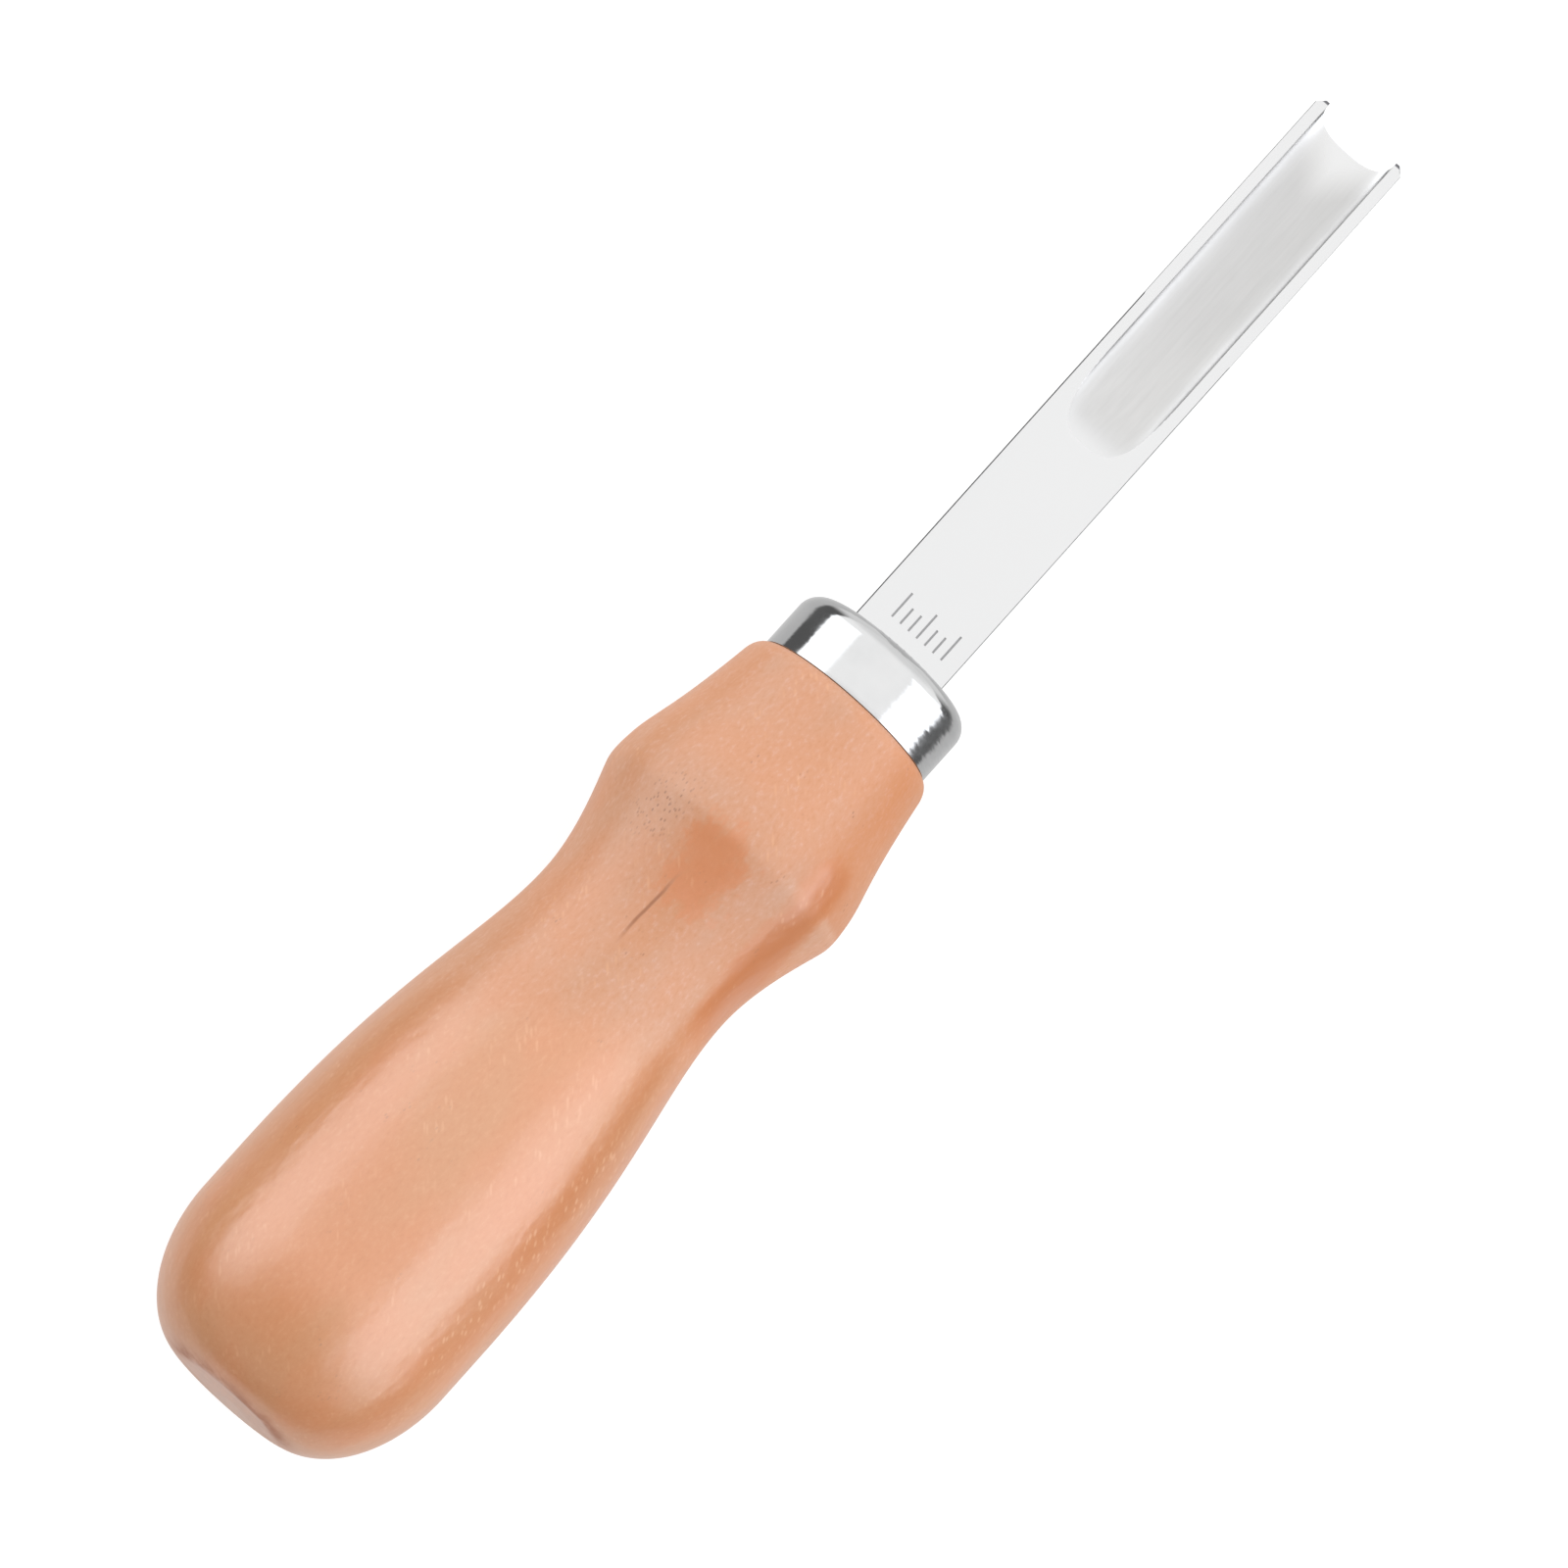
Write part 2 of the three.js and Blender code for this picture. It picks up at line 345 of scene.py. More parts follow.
def wood_figure(tree, mottle):
    """Long soft streaks and clouds between orange and tan, with a fine mottle over them."""
    streaks = grain(tree, (12, 120, 120), 4.0, 0.55)
    clouds = grain(tree, (55, 110, 110), 3.0, 0.55, (3, 1, 7))
    colour = blend(tree, ease(tree, clouds, 0.36, 0.64), ORANGE, TAN)
    colour = blend(tree, ease(tree, streaks, 0.45, 0.75, 0.0, 0.5), colour, DEEP)
    colour = blend(tree, ease(tree, mottle, 0.5, 0.8, 0.0, 0.4), colour, PALE)
    return blend(tree, ease(tree, mottle, 0.5, 0.22, 0.0, 0.35), colour, DEEP)


def on_top(tree, up):
    """1 on the upper half of the handle, falling softly to 0 at its sides."""
    return ease(tree, up, 0, 3 * MM)


def painted_shade_patch(tree, along, across, up):
    """Painted shade, a ragged oval on the shoulder's rear slope just behind it, which tails off towards
    the waist.
    """
    middle = SHOULDER_AT - 2.8 * MM
    half_width = 3.7 * MM
    length_ahead = 3.3 * MM
    length_behind = 6.5 * MM
    sideways = product(tree, across, 1 / half_width)
    forwards = maths(tree, "SUBTRACT", along, middle)
    forwards = maths(
        tree,
        "MAXIMUM",
        product(tree, forwards, 1 / length_ahead),
        product(tree, forwards, -1 / length_behind),
    )
    ragged = product(tree, grain(tree, (350, 600, 600), 4.0, 0.7, (4, 4, 4)), 2.6)
    reach = maths(tree, "ADD", length_of(tree, sideways, forwards), ragged)
    return product(tree, ease(tree, reach, 2.5, 1.6), on_top(tree, up))


def dark_side_streak(tree, along, across, up, drift):
    """A darker band along the right side, from the waist to a little ahead of the shoulder."""
    right_edge = -9.4 * MM
    left_edge = -6.6 * MM
    rear = WAIST_AT - 5.4 * MM
    front = SHOULDER_AT + 5.8 * MM
    shifted = maths(tree, "ADD", across, product(tree, drift, 2.4 * MM))
    return product(
        tree,
        window(tree, shifted, right_edge, left_edge, 0.9 * MM),
        ease(tree, along, rear, rear + 6 * MM),
        ease(tree, along, front, front - 3 * MM),
        on_top(tree, up),
    )


def bare_wood(tree, along, across, ragged, ahead, shade_patch_and_streak):
    """How bare the wood is, from 0 to 1. The lacquer is dulled from the waist forwards, more so on
    the right, and thin ahead of the shoulder. The painted shade behind the shoulder and the dark
    streak keep all of theirs."""
    dulled = maths(tree, "ADD", along, product(tree, ragged, 7 * MM))
    dulled = maths(tree, "ADD", dulled, product(tree, across, 0.5))
    waist = ease(tree, dulled, WAIST_AT - 11 * MM, WAIST_AT - 3 * MM)
    waist = product(tree, waist, ease(tree, across, 6 * MM, -2 * MM, 0.65, 0.9))
    taper = product(tree, ahead, 0.85)
    lacquered = maths(tree, "SUBTRACT", 1.0, shade_patch_and_streak)
    return product(tree, maths(tree, "MAXIMUM", waist, taper), lacquered)


def pale_rays(tree, along, across):
    """Short rays at a slant to the grain, strongest along the right side of the swell."""
    rays = specks(tree, (420, 2000, 1200), 0.36, (2, 9, 4), slant=-42)
    patches = ease(tree, grain(tree, (130, 240, 240), 2.0, 0.5, (1, 6, 2)), 0.5, 0.66)
    band = window(tree, across, -12.3 * MM, -9.8 * MM, 0.8 * MM)
    band = product(tree, band, window(tree, along, 12 * MM, 40 * MM, 4 * MM), 0.7)
    return product(tree, rays, maths(tree, "MAXIMUM", product(tree, patches, 0.35), band))


def dark_pores(tree, along, across):
    """Tiny pits in patches, with a cluster of them on the left, behind the shoulder."""
    cluster = window(tree, along, SHOULDER_AT - 5.2 * MM, SHOULDER_AT + 0.8 * MM, 2 * MM)
    cluster = product(tree, cluster, window(tree, across, 4.6 * MM, 8.2 * MM, 1.2 * MM))
    patches = ease(tree, grain(tree, (300, 420, 420), 2.0, 0.5, (7, 5, 2)), 0.62, 0.74)
    amount = maths(tree, "MAXIMUM", product(tree, patches, 0.6), product(tree, cluster, 0.9))
    return product(tree, specks(tree, (1500, 2800, 2800), 0.36, (6, 3, 4)), amount)


def grain_line(tree, along, across, up):
    """One dark line on the upper side of the waist, crooked and pointed at both ends."""
    offset = 1.9 * MM
    rear = WAIST_AT - 2.9 * MM
    front = WAIST_AT + 6.6 * MM
    bend = product(tree, grain(tree, (120, 0, 0), 2.0), 1.2 * MM)
    off_line = maths(tree, "SUBTRACT", maths(tree, "ADD", across, bend), offset)
    return product(
        tree,
        ease(tree, maths(tree, "ABSOLUTE", off_line), 0.24 * MM, 0.05 * MM),
        ease(tree, along, rear, rear + 3.5 * MM),
        ease(tree, along, front, front - 4 * MM),
        ease(tree, up, 6 * MM, 9 * MM),
    )


def butt_end(tree, along, across, up, ragged, drift):
    """Two masks at the butt: the flat face's end grain, in fine lines, and the dark rim round it, which
    is painted shade where the corner turns away from the light.
    """
    radius = maths(tree, "ADD", length_of(tree, across, up), product(tree, ragged, 1.2 * MM))
    at_butt = ease(tree, along, 1.8 * MM, 0.6 * MM)
    outside = ease(tree, radius, BUTT_FACE_RADIUS - 0.3 * MM, BUTT_FACE_RADIUS + 0.9 * MM)
    lines = ease(tree, grain(tree, (300, 1500, 120), 2.0, 0.5, (2, 2, 2)), 0.35, 0.65, 0.1, 0.4)
    face = product(tree, at_butt, maths(tree, "SUBTRACT", 1.0, outside), lines)
    rim = product(
        tree,
        outside,
        ease(tree, radius, BUTT_FACE_RADIUS + 3.4 * MM, BUTT_FACE_RADIUS + 1.2 * MM),
        at_butt,
        ease(tree, up, -2 * MM, 4 * MM, 0.3, 1.0),
        ease(tree, drift, 0.35, 0.6, 0.25, 0.75),
    )
    return face, rim


def wood_normals(tree, mottle, pores):
    """Two normals: the wood's own, with its grain and pores, and that of the lacquer over it, which
    lies slightly unevenly and lets the grain through faintly."""
    wood = bumped(tree, mottle, 0.02 * MM, 0.3)
    wood = bumped(tree, pores, -0.03 * MM, 0.5, wood)
    film = bumped(tree, grain(tree, (250, 400, 400), 2.0), 0.2 * MM, 0.6)
    film = bumped(tree, mottle, 0.01 * MM, 0.3, film)
    return wood, film


def wood_material():
    """Clear-lacquered light hardwood, with its own figure, the marks of making and use, and some painted
    shade and sheen.
    """
    made, tree, shader = new_material("lacquered_wood")
    along, across, up = axes_of(tree)
    mottle = grain(tree, (1500, 2600, 2600), 2.0, 0.6, (5, 2, 1))
    drift = grain(tree, (150, 300, 300), 4.0, 0.65, (4, 4, 4))
    ragged = grain(tree, (200, 400, 400), 3.0, 0.6, (8, 8, 1))
    shoulder_shade = painted_shade_patch(tree, along, across, up)
    streak = dark_side_streak(tree, along, across, up, drift)
    shade_patch_and_streak = maths(tree, "MAXIMUM", shoulder_shade, streak)
    ahead = ease(tree, along, SHOULDER_AT, SHOULDER_AT + 0.8 * MM)
    bare = bare_wood(tree, along, across, ragged, ahead, shade_patch_and_streak)
    # Painted shade: the taper's right side, which faces away from the light, is painted a deeper orange.
    taper_right_shade = product(tree, ahead, ease(tree, across, -4 * MM, -9 * MM, 0.0, 0.4))
    rays = pale_rays(tree, along, across)
    pores = dark_pores(tree, along, across)
    line = grain_line(tree, along, across, up)
    face, rim = butt_end(tree, along, across, up, ragged, drift)

    # Bare wood is paler, partly as bare wood and partly by a painted sheen, and every feature is laid
    # over it, each with its own strength.
    colour = blend(tree, bare, wood_figure(tree, mottle), BARE_AND_SHEEN_GAIN, "MULTIPLY")
    for mask, strength, feature_colour in (
        # painted shade on the taper's right side
        (taper_right_shade, 1.0, DEEP),
        # painted shade on the shoulder's rear slope
        (shoulder_shade, 0.55, SHOULDER_SHADE_COLOUR),
        (streak, 0.8, STREAK_COLOUR),
        (rays, 0.5, RAY_COLOUR),
        (pores, 0.6, PORE_COLOUR),
        (line, 0.7, LINE_COLOUR),
        (face, 1.0, END_GRAIN_COLOUR),
        # painted shade round the butt face
        (rim, 1.0, RIM_SHADE_COLOUR),
    ):
        colour = blend(tree, product(tree, mask, strength), colour, feature_colour)

    cloud = grain(tree, (90, 160, 160), 2.0, 0.5, (8, 3, 3))
    wood_normal, film_normal = wood_normals(tree, mottle, pores)
    feed(
        tree,
        shader,
        Base_Color=colour,
        Roughness=0.5,
        Specular_IOR_Level=0.1,
        Normal=wood_normal,
        Coat_Weight=maths(tree, "SUBTRACT", 1.0, maths(tree, "MAXIMUM", bare, rim)),
        Coat_Roughness=ease(tree, cloud, 0.3, 0.7, 0.3, 0.36),
        Coat_IOR=2.0,
        Coat_Normal=film_normal,
    )
    return made


def turned_about_x(tree, normal, tilt):
    """A surface normal, leant round the X axis. The tilt is the tangent of its angle."""

    def vector(operation, inputs):
        return put(tree, "ShaderNodeVectorMath", inputs, operation=operation).outputs[0]

    round_about = vector("CROSS_PRODUCT", {0: (1, 0, 0), 1: normal})
    shift = vector("SCALE", {0: round_about, "Scale": tilt})
    return vector("NORMALIZE", {0: vector("ADD", {0: normal, 1: shift})})


def chrome_material():
    """Bright plating, brushed and lightly hazed."""
    made, tree, shader = new_material("chrome_plate")
    across = axes_of(tree)[1]
    worn_side = -7 * MM
    haze = grain(tree, (300, 300, 300), 3.0, 0.6, (4, 4, 0))

    # Brush marks run round the cup and tilt the surface to and fro. They are strongest on the right
    # side, which is duller too.
    marks = maths(tree, "SUBTRACT", grain(tree, (3600, 420, 420), 5.0, 0.7), 0.5)
    tilt = product(tree, marks, ease(tree, across, 0, worn_side, 0.04, 0.22))
    plain = put(tree, "ShaderNodeNewGeometry").outputs["Normal"]
    tilted = turned_about_x(tree, plain, tilt)
    scuffs = grain(tree, (2300, 420, 420), 3.0, 0.6)
    roughness = ease(tree, haze, 0.3, 0.75, 0.06, 0.16)
    duller = ease(tree, across, worn_side + 3 * MM, worn_side, 0.0, 0.08)
    roughness = maths(tree, "ADD", roughness, duller)
    feed(
        tree,
        shader,
        Base_Color=blend(tree, haze, (0.5, 0.502, 0.505, 1), (0.575, 0.575, 0.575, 1)),
        Metallic=1.0,
        Roughness=roughness,
        Normal=bumped(tree, scuffs, 0.02 * MM, 0.8, tilted),
    )
    return made


def channel_masks(tree, along, across, up):
    """Four masks in the channel: where it is satin, ground grey, painted with corner shade, and honed.
    """
    off_centre = maths(tree, "ABSOLUTE", across)
    top = BLADE_THICKNESS / 2
    wall = CHANNEL_WIDTH / 2
    run_out_start = CHANNEL_REAR - 1 * MM
    run_out_end = CHANNEL_REAR + CHANNEL_RUN_OUT

    # Below the flat top and between the rails the surface is as ground. The grey comes in along the
    # run-out more slowly than the satin.
    sunk = ease(tree, up, top - 0.002 * MM, top - 0.02 * MM)
    inside = ease(tree, off_centre, wall + 0.03 * MM, wall)
    in_channel = ease(tree, along, run_out_start, CHANNEL_REAR + 2.5 * MM)
    satin = product(tree, sunk, inside, in_channel)
    ground = product(tree, satin, ease(tree, along, run_out_start, CHANNEL_REAR + 4 * MM))

    # A dark line of painted shade lies in the corner under the right rail, and under the left one
    # only along the run-out.
    ragged = product(tree, grain(tree, (900, 1500, 1500), 3.0, 0.6, (1, 1, 5)), 0.16 * MM)
    inward = maths(tree, "SUBTRACT", off_centre, ragged)
    corner = ease(tree, inward, wall - 0.3 * MM, wall - 0.2 * MM)
    right_side = ease(tree, across, 1 * MM, -1 * MM)
    at_rear = ease(tree, along, run_out_end + 1.3 * MM, run_out_end - 1.7 * MM)
    shaded_stretch = maths(tree, "MAXIMUM", right_side, at_rear)
    short_of_tip = ease(tree, along, BLADE_TIP - 3 * MM, BLADE_TIP - 4.5 * MM)
    corner_shade = product(tree, ground, corner, shaded_stretch, short_of_tip)

    # The edge is honed on the inside too, furthest back along the middle.
    reach = maths(tree, "ADD", along, product(tree, off_centre, -1.1))
    honed = product(tree, ground, ease(tree, reach, BLADE_TIP - 9 * MM, BLADE_TIP - 3 * MM))
    return satin, ground, corner_shade, honed


def steel_material():
    """Polished flats, and a channel left as the wheel ground it."""
    made, tree, shader = new_material("ground_steel")
    along, across, up = axes_of(tree)
    satin, ground, corner_shade, honed = channel_masks(tree, along, across, up)
    lay = grain(tree, (160, 2600, 2600), 3.0, 0.6)
    smears = grain(tree, (60, 120, 120), 3.0, 0.55, (6, 0, 2))
    flat_colour = blend(tree, smears, (0.555, 0.557, 0.56, 1), (0.6, 0.6, 0.6, 1))
    ground_colour = blend(tree, lay, (0.495, 0.49, 0.484, 1), (0.575, 0.57, 0.563, 1))
    colour = blend(tree, ground, flat_colour, ground_colour)
    colour = blend(tree, honed, colour, (0.585, 0.585, 0.585, 1))
    # Painted shade in the channel's corners.
    colour = blend(tree, product(tree, corner_shade, 0.25), colour, (0.1, 0.1, 0.1, 1))

    # The very tips of the rails are painted near black: painted shade on their sharp ends.
    shaded_tip = ease(tree, along, BLADE_TIP - 0.32 * MM, BLADE_TIP - 0.2 * MM)
    colour = blend(tree, product(tree, shaded_tip, 0.85), colour, (0.05, 0.05, 0.06, 1))

    roughness = ease(tree, smears, 0.3, 0.7, 0.14, 0.22)
    not_honed = maths(tree, "SUBTRACT", 1.0, honed)
    roughness = maths(tree, "ADD", roughness, product(tree, satin, not_honed, 0.36))
    scratches = product(tree, lay, maths(tree, "ADD", 0.25, satin))
    feed(
        tree,
        shader,
        Base_Color=colour,
        Metallic=1.0,
        Roughness=roughness,
        Normal=bumped(tree, scratches, 0.004 * MM, 0.4),
    )
    return made


def engraved_material():
    """The dark grey, burnt bottom of an engraved line."""
    made, tree, shader = new_material("engraved_mark")
    burn = grain(tree, (4000, 4000, 4000), 2.0)
    feed(
        tree,
        shader,
        Base_Color=blend(tree, burn, (0.28, 0.28, 0.28, 1), (0.4, 0.4, 0.4, 1)),
        Metallic=0.6,
        Roughness=ease(tree, burn, 0.3, 0.7, 0.5, 0.7),
        Normal=bumped(tree, burn, 0.01 * MM, 0.4),
    )
    return made


def adhesive_material():
    """Amber resin, cured unevenly."""
    made, tree, shader = new_material("cured_adhesive")
    flow = grain(tree, (120, 400, 400), 4.0, 0.6)
    feed(
        tree,
        shader,
        Base_Color=blend(tree, flow, (0.5, 0.3, 0.09, 1), (0.68, 0.47, 0.2, 1)),
        Roughness=ease(tree, flow, 0.3, 0.7, 0.2, 0.4),
        Normal=bumped(tree, flow, 0.1 * MM, 0.5),
    )
    return made


# ---------------------------------------------------------------- handle


def grip_outline():
    """(x, radius) from the butt's centre round its corner, over the swell and waist to the shoulder."""
    corner_height = SWELL_RADIUS - BUTT_FACE_RADIUS
    swell_pull = 21 * MM
    waist_pull_behind = 8.2 * MM
    waist_pull_ahead = 4.6 * MM
    line = [Vector((0, 0))]
    line += straight((0, 0), (0, BUTT_FACE_RADIUS), 12)
    line += arc((BUTT_CORNER_LENGTH, BUTT_FACE_RADIUS), (BUTT_CORNER_LENGTH, corner_height), 180, 90, 48)
    line += straight((BUTT_CORNER_LENGTH, SWELL_RADIUS), (SWELL_END, SWELL_RADIUS), 6)
    line += bezier(
        [
            (SWELL_END, SWELL_RADIUS),
            (SWELL_END + swell_pull, SWELL_RADIUS),
            (WAIST_AT - waist_pull_behind, WAIST_RADIUS),
            (WAIST_AT, WAIST_RADIUS),
        ],
        48,
    )
    line += bezier(
        [
            (WAIST_AT, WAIST_RADIUS),
            (WAIST_AT + waist_pull_ahead, WAIST_RADIUS),
            (SHOULDER_AT - 2.4 * MM, SHOULDER_RADIUS - 0.67 * MM),
            SHOULDER_START,
        ],
        24,
    )
    return line


def taper_outline():
    """(x, radius) over the shoulder's crest, down the taper and round the front rim."""
    shoulder_end = (SHOULDER_AT + 1.9 * MM, SHOULDER_RADIUS - 0.23 * MM)
    rim_start = (HANDLE_FRONT - 1.6 * MM, FRONT_RIM_RADIUS)
    rim_corner = (HANDLE_FRONT - 0.3 * MM, FRONT_RIM_RADIUS - 0.25 * MM)
    rim_end = (HANDLE_FRONT, FERRULE_RADIUS - 0.1 * MM)
    line = bezier([SHOULDER_START, (SHOULDER_AT, SHOULDER_RADIUS), shoulder_end], 10)
    line += bezier(
        [
            shoulder_end,
            (SHOULDER_AT + 4.9 * MM, SHOULDER_RADIUS - 0.52 * MM),
            (SHOULDER_AT + 5.6 * MM, SHOULDER_RADIUS - 1.4 * MM),
            rim_start,
        ],
        28,
    )
    line += bezier([rim_start, rim_corner, rim_end], 12)
    return line


def tenon_outline():
    """(x, radius) of the tenon with its chamfered end, and of the bore down to its bottom."""
    tenon_radius = FERRULE_RADIUS - FERRULE_WALL - 0.05 * MM
    chamfer = 1.2 * MM
    line = [Vector((HANDLE_FRONT, tenon_radius))]
    line += [Vector((TENON_FRONT - chamfer, tenon_radius))]
    line += [Vector((TENON_FRONT, tenon_radius - chamfer))]
    line += [Vector((TENON_FRONT, BORE_RADIUS))]
    line += [Vector((BORE_BOTTOM, BORE_RADIUS))]
    line += [Vector((BORE_BOTTOM, 0))]
    return line


def make_handle():
    """The turned handle, closed all over, with its tenon and bore."""
    shape = turn(grip_outline() + taper_outline() + tenon_outline(), TURNED_SIDES)

    # Sanding by hand leaves the turned surface very slightly uneven.
    unevenness = 0.05 * MM
    cells_per_metre = 70
    for vertex in shape.verts:
        radial = Vector((0, vertex.co.y, vertex.co.z))
        if radial.length > FERRULE_RADIUS:
            wave = noise.noise(Vector((vertex.co.x * 0.5, vertex.co.y, vertex.co.z)) * cells_per_metre)
            vertex.co += radial.normalized() * wave * unevenness
    handle = from_bmesh("turned_handle", shape)
    handle.data.materials.append(wood_material())
    shade(handle, 40)
    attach(handle, "root")
    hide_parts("handle")


# ---------------------------------------------------------------- ferrule


def ferrule_outline():
    """(x, radius) of the cup, from its inner face's centre out, back, and forwards outside."""
    inner_radius = FERRULE_RADIUS - FERRULE_WALL
    inner_face = FERRULE_FRONT - FERRULE_WALL
    inner_corner = FERRULE_CORNER_RADIUS - FERRULE_WALL
    rear = HANDLE_FRONT + SEAT_GAP
    lip = 0.05 * MM
    line = [Vector((inner_face, 0)), Vector((inner_face, inner_radius - inner_corner))]
    line += arc((inner_face - inner_corner, inner_radius - inner_corner), (inner_corner,) * 2, 0, 90, 8)
    line += straight((inner_face - inner_corner, inner_radius), (rear, inner_radius), 4)
    line += [Vector((rear, FERRULE_RADIUS - lip))]
    line += arc((rear + lip, FERRULE_RADIUS - lip), (lip, lip), 180, 90, 4)
    corner = FERRULE_CORNER_RADIUS
    line += straight((rear + lip, FERRULE_RADIUS), (FERRULE_FRONT - corner, FERRULE_RADIUS), 10)
    line += arc((FERRULE_FRONT - corner, FERRULE_RADIUS - corner), (corner, corner), 90, 0, 20)
    line += [Vector((FERRULE_FRONT, 0))]
    return line


def make_ferrule():
    """The drawn cup over the tenon, with the tang's slot cut through its front."""
    ferrule = from_bmesh("ferrule_cup", turn(ferrule_outline(), TURNED_SIDES))
    slot_gap = 0.1 * MM
    slot = block(
        "slot",
        (FERRULE_FRONT, 0, 0),
        (4 * FERRULE_WALL, TANG_ROOT[0] + slot_gap, TANG_ROOT[1] + slot_gap),
    )
    cut(ferrule, slot)
    ferrule.data.materials.clear()
    ferrule.data.materials.append(chrome_material())
    shade(ferrule, 35)
    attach(ferrule, "root")
    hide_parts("ferrule")


# ---------------------------------------------------------------- blade


def channel_rise(y):
    """Height of the channel's section above its lowest line."""
    u = min(1, abs(y) / (CHANNEL_WIDTH / 2))
    return CHANNEL_DEPTH * (1 - (1 - u**CHANNEL_ROUNDNESS) ** (1 / CHANNEL_ROUNDNESS))


def channel_lift(x):
    """How far the grinding wheel has risen from full depth at x, on its own arc."""
    wheel_radius = (CHANNEL_RUN_OUT**2 + CHANNEL_DEPTH**2) / (2 * CHANNEL_DEPTH)
    behind = max(0, CHANNEL_REAR + CHANNEL_RUN_OUT - x)
    clear_of_steel = CHANNEL_DEPTH * 1.2
    if behind > CHANNEL_RUN_OUT * 1.05:
        return clear_of_steel
    return wheel_radius - math.sqrt(wheel_radius**2 - behind**2)


def blade_section(x):
    """The bar's outline at x, in (y, z), counter-clockwise from the lower right corner."""
    side = BLADE_WIDTH / 2
    top = BLADE_THICKNESS / 2
    lower_round = 0.16 * MM

    # The upper edges were broken by hand, more on the left, and less beside the channel.
    beside_channel = 0.4 if x > CHANNEL_REAR + CHANNEL_RUN_OUT else 1
    left = 0.11 * MM * beside_channel
    right = 0.06 * MM * beside_channel
    steepness = math.tan(math.radians(52))
    land = CHANNEL_WIDTH / 2 + 0.04 * MM

    line = [Vector((lower_round - side, -top))]
    line += straight((lower_round - side, -top), (side - lower_round, -top), 8)
    line += arc((side - lower_round, lower_round - top), (lower_round, lower_round), -90, 0, 4)
    line += [Vector((side, top - left * steepness))]
    line += [Vector((side - left, top))]
    line += straight((side - left, top), (land, top), 3)
    steps = 56
    floor = top - CHANNEL_DEPTH + channel_lift(x)
    for i in range(steps + 1):
        y = CHANNEL_WIDTH / 2 * math.cos(math.pi * i / steps)
        line.append(Vector((y, min(top, floor + channel_rise(y)))))
    line += [Vector((-land, top))]
    line += straight((-land, top), (right - side, top), 3)
    line += [Vector((-side, top - right * steepness))]
    line += [Vector((-side, lower_round - top))]
    line += arc((lower_round - side, lower_round - top), (lower_round, lower_round), 180, 270, 4)[:-1]
    return line


def skin(rings):
    """A closed bmesh through equal rings of points, with a flat face at each end."""
    shape = bmesh.new()
    rows = [[shape.verts.new(point) for point in ring] for ring in rings]
    count = len(rows[0])
    for row, following in zip(rows, rows[1:]):
        for i in range(count):
            j = (i + 1) % count
            shape.faces.new((row[i], row[j], following[j], following[i]))
    shape.faces.new(rows[0][::-1])
    shape.faces.new(rows[-1])
    bmesh.ops.recalc_face_normals(shape, faces=shape.faces)
    return shape


def slice_off(shape, point, normal):
    """Cuts away what lies on the normal's side of a plane, and closes the cut."""
    everything = list(shape.verts) + list(shape.edges) + list(shape.faces)
    bmesh.ops.bisect_plane(
        shape,
        geom=everything,
        dist=1e-7,
        plane_co=point,
        plane_no=normal,
        clear_outer=True,
    )
    rim = [edge for edge in shape.edges if edge.is_boundary]
    bmesh.ops.holes_fill(shape, edges=rim, sides=0)


def make_blade():
    """The channelled bar from its shoulders to the cutting edge, and the tang behind it."""
    shoulder = FERRULE_FRONT + SEAT_GAP
    flat_end = CHANNEL_REAR - 1 * MM
    beyond = BLADE_TIP + 1 * MM  # the bevel cuts this off
    step = 0.25 * MM
    stations = [shoulder, shoulder + 4 * MM, flat_end]
    stations += [flat_end + step * i for i in range(1, math.ceil((beyond - flat_end) / step))]
    rings = [[Vector((x, p.x, p.y)) for p in blade_section(x)] for x in stations]
    shape = skin(rings)

    # The bevel under the cutting edge, and the cut-off outer corners of the two rails.
    bottom = -BLADE_THICKNESS / 2
    bevel_start = BLADE_TIP - BLADE_THICKNESS / math.tan(BEVEL_ANGLE)
    bevel_normal = Vector((math.sin(BEVEL_ANGLE), 0, -math.cos(BEVEL_ANGLE)))
    slice_off(shape, Vector((bevel_start, 0, bottom)), bevel_normal)
    for side in (1, -1):
        corner = Vector((BLADE_TIP - TIP_CHAMFER_LENGTH, side * BLADE_WIDTH / 2, 0))
        slice_off(shape, corner, Vector((TIP_CHAMFER_WIDTH, side * TIP_CHAMFER_LENGTH, 0)))
    blade = from_bmesh("channelled_blade", shape)
    steel = steel_material()
    blade.data.materials.append(steel)
    engrave_scale(blade)
    shade(blade, 28)
    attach(blade, "root")
    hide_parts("blade")
    make_tang(steel)


def engrave_scale(blade):
    """Cuts a plain scale of lines across the blade, longer at its ends and middle."""
    engraved = engraved_material()
    blade.data.materials.append(engraved)
    for i in range(SCALE_MARKS):
        length = LONG_MARK if i % 3 == 0 else SHORT_MARK
        y = (i - (SCALE_MARKS - 1) / 2) * SCALE_PITCH
        mark = block(
            "mark",
            (SCALE_AT + length / 2, SCALE_OFFSET - y, BLADE_THICKNESS / 2),
            (length, MARK_WIDTH, 2 * MARK_DEPTH),
        )
        mark.data.materials.append(engraved)
        cut(blade, mark)


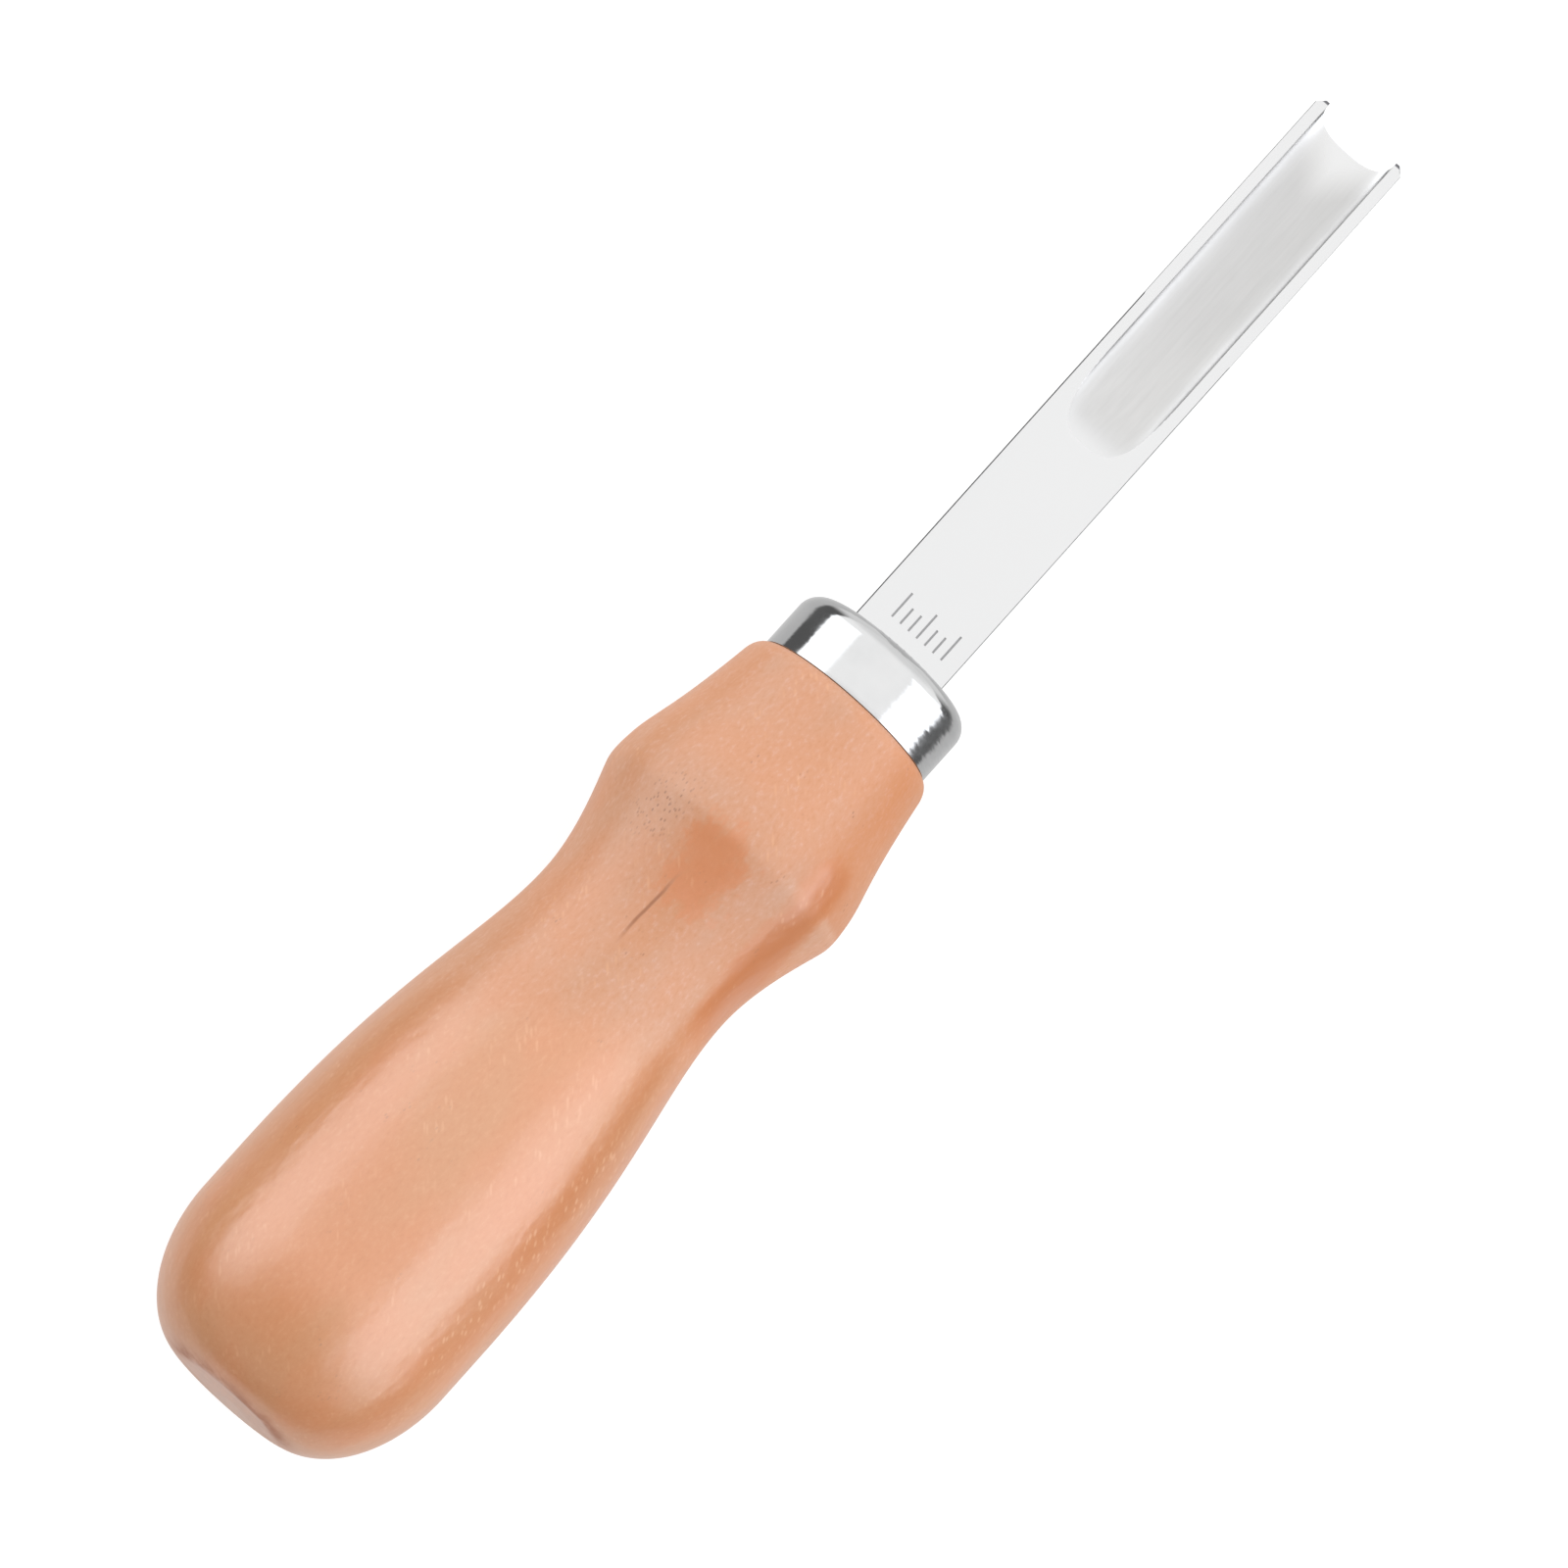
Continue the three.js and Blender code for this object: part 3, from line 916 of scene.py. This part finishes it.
def make_tang(steel):
    """The tapered tang, which runs back from the blade's shoulders through the ferrule."""
    shape = bmesh.new()
    bmesh.ops.create_cube(shape, size=1)
    front = FERRULE_FRONT + SEAT_GAP
    edge_round = 0.15 * MM
    for vertex in shape.verts:
        at_front = vertex.co.x > 0
        width, thickness = TANG_ROOT if at_front else TANG_END
        vertex.co.x = front if at_front else TANG_REAR
        vertex.co.y *= width
        vertex.co.z *= thickness
    bmesh.ops.bevel(
        shape,
        geom=list(shape.edges),
        offset=edge_round,
        segments=3,
        profile=0.5,
        affect="EDGES",
    )
    tang = from_bmesh("blade_tang", shape)
    tang.data.materials.append(steel)
    shade(tang, 40)
    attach(tang, "root")


# ---------------------------------------------------------------- adhesive


def dress_adhesive():
    """The plug round the tang keeps its CAD shape, and only gets its material."""
    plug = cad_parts["tang_adhesive"]
    plug.data.materials.clear()
    plug.data.materials.append(adhesive_material())


# ---------------------------------------------------------------- camera, floor and light


def make_camera():
    """Looks down on the channel's side, leaning towards the butt, with the tool pointing up right."""
    lean = math.radians(9.3)
    roll = math.radians(48.1)
    distance = 1.5
    field = 139.1 * MM
    centre = Vector((73.9 * MM, -0.3 * MM, 0))
    back = Vector((-math.sin(lean), 0, math.cos(lean)))
    tool = Vector((math.cos(lean), 0, math.sin(lean)))
    side = back.cross(tool)
    right = math.cos(roll) * tool - math.sin(roll) * side
    up = math.sin(roll) * tool + math.cos(roll) * side
    camera = new_object("camera", bpy.data.cameras.new("camera"))
    turned = Matrix((right, up, back)).transposed().to_4x4()
    camera.matrix_world = Matrix.Translation(centre + back * distance) @ turned
    camera.data.sensor_width = 36
    camera.data.lens = camera.data.sensor_width * distance / field
    camera.data.clip_start = 0.1
    camera.data.clip_end = 20
    bpy.context.scene.camera = camera


def make_floor():
    """A pale floor along the underside of the lying tool, from its swell to its shoulder."""
    swell_x = SWELL_END - 2 * MM
    shoulder_x = SHOULDER_AT + 0.5 * MM
    crest_radius = SHOULDER_RADIUS - 0.13 * MM
    swell_bulge = 0.2 * MM  # how far the swell reaches below the line from swell_x to the shoulder
    fall = math.atan2(SWELL_RADIUS - crest_radius, shoulder_x - swell_x)
    shape = bmesh.new()
    bmesh.ops.create_grid(shape, x_segments=1, y_segments=1, size=6)
    floor = from_bmesh("floor", shape)
    floor.rotation_euler = (0, -fall, 0)
    floor.location = (swell_x, 0, -SWELL_RADIUS - swell_bulge)
    made, tree, shader = new_material("pale_floor")
    feed(
        tree,
        shader,
        Base_Color=(0.3, 0.3, 0.3, 1),
        Roughness=0.9,
        Specular_IOR_Level=0.0,
        Emission_Color=(1, 1, 1, 1),
        Emission_Strength=0.78,
    )
    floor.data.materials.append(made)
    floor.visible_glossy = False


def make_backdrop():
    """A pale dome far behind everything, which only the camera sees."""
    shape = bmesh.new()
    bmesh.ops.create_uvsphere(shape, u_segments=48, v_segments=24, radius=5)
    dome = from_bmesh("backdrop", shape)
    made, tree, shader = new_material("pale_backdrop")
    feed(
        tree,
        shader,
        Base_Color=(0, 0, 0, 1),
        Emission_Color=(1, 1, 1, 1),
        Emission_Strength=1.0,
        Specular_IOR_Level=0.0,
    )
    dome.data.materials.append(made)
    dome.visible_diffuse = False
    dome.visible_glossy = False
    dome.visible_transmission = False
    dome.visible_shadow = False


def sky_colour(tree, around, forward, height):
    """Above the horizon: a pale ceiling, and a long, slightly cool box on each side of the tool."""
    ceiling = 1.5
    left_box = (2.25, 2.3, 2.36, 1)
    right_box = (2.44, 2.5, 2.62, 1)
    left_edge = 42
    right_edge = -32
    softness = 8

    # The ceiling is dim towards the butt, and fades a little towards the horizon ahead.
    dim_behind = ease(tree, forward, -26, 9, 0.33, 1.0)
    faded_ahead = ease(tree, forward, 65, 40, 0.8, 1.0)
    sky = product(tree, dim_behind, faded_ahead, ceiling)

    # The boxes fade out towards the butt, and end more sharply ahead and at the horizon.
    reach = product(tree, ease(tree, forward, -36, -14), ease(tree, forward, 34, 24))
    above = ease(tree, height, -1, 2)
    in_left = ease(tree, around, left_edge, left_edge + softness)
    in_right = ease(tree, around, right_edge, right_edge - softness)
    sky = blend(tree, product(tree, in_left, above, reach), sky, left_box)
    return blend(tree, product(tree, in_right, above, reach), sky, right_box)


def ground_brightness(tree, along, up, height):
    """Below the horizon: a band that is dark except straight ahead, and then the pale table."""
    dark = 0.15
    bright = 1.1
    table = 0.75
    level_part = maths(tree, "SQRT", maths(tree, "SUBTRACT", 1.0, product(tree, up, up)))
    ahead = maths(tree, "DIVIDE", along, level_part)
    band = ease(tree, ahead, 0.6, 0.85, dark, bright)
    return ease(tree, height, -25, -31, band, table)


def make_light():
    """A soft studio, all of it in the world's own shader, by direction."""
    world = bpy.data.worlds.new("studio")
    bpy.context.scene.world = world
    world.use_nodes = True
    tree = world.node_tree
    direction = put(tree, "ShaderNodeTexCoord").outputs["Generated"]
    along, across, up = put(tree, "ShaderNodeSeparateXYZ", {0: direction}).outputs

    # Angles in degrees: round the tool from straight up to the left, forwards, and above the horizon.
    around = maths(tree, "DEGREES", maths(tree, "ARCTAN2", across, up))
    forward = maths(tree, "DEGREES", maths(tree, "ARCSINE", along))
    height = maths(tree, "DEGREES", maths(tree, "ARCSINE", up))
    sky = sky_colour(tree, around, forward, height)
    ground = ground_brightness(tree, along, up, height)
    everything = blend(tree, ease(tree, height, -1.5, 1.5), ground, sky)
    background = tree.nodes["Background"]
    tree.links.new(everything, background.inputs["Color"])
    background.inputs["Strength"].default_value = 1.0

    bpy.context.scene.view_settings.view_transform = "Standard"


# ---------------------------------------------------------------- the whole scene

make_camera()
make_floor()
make_backdrop()
make_light()
make_handle()
make_ferrule()
make_blade()
dress_adhesive()
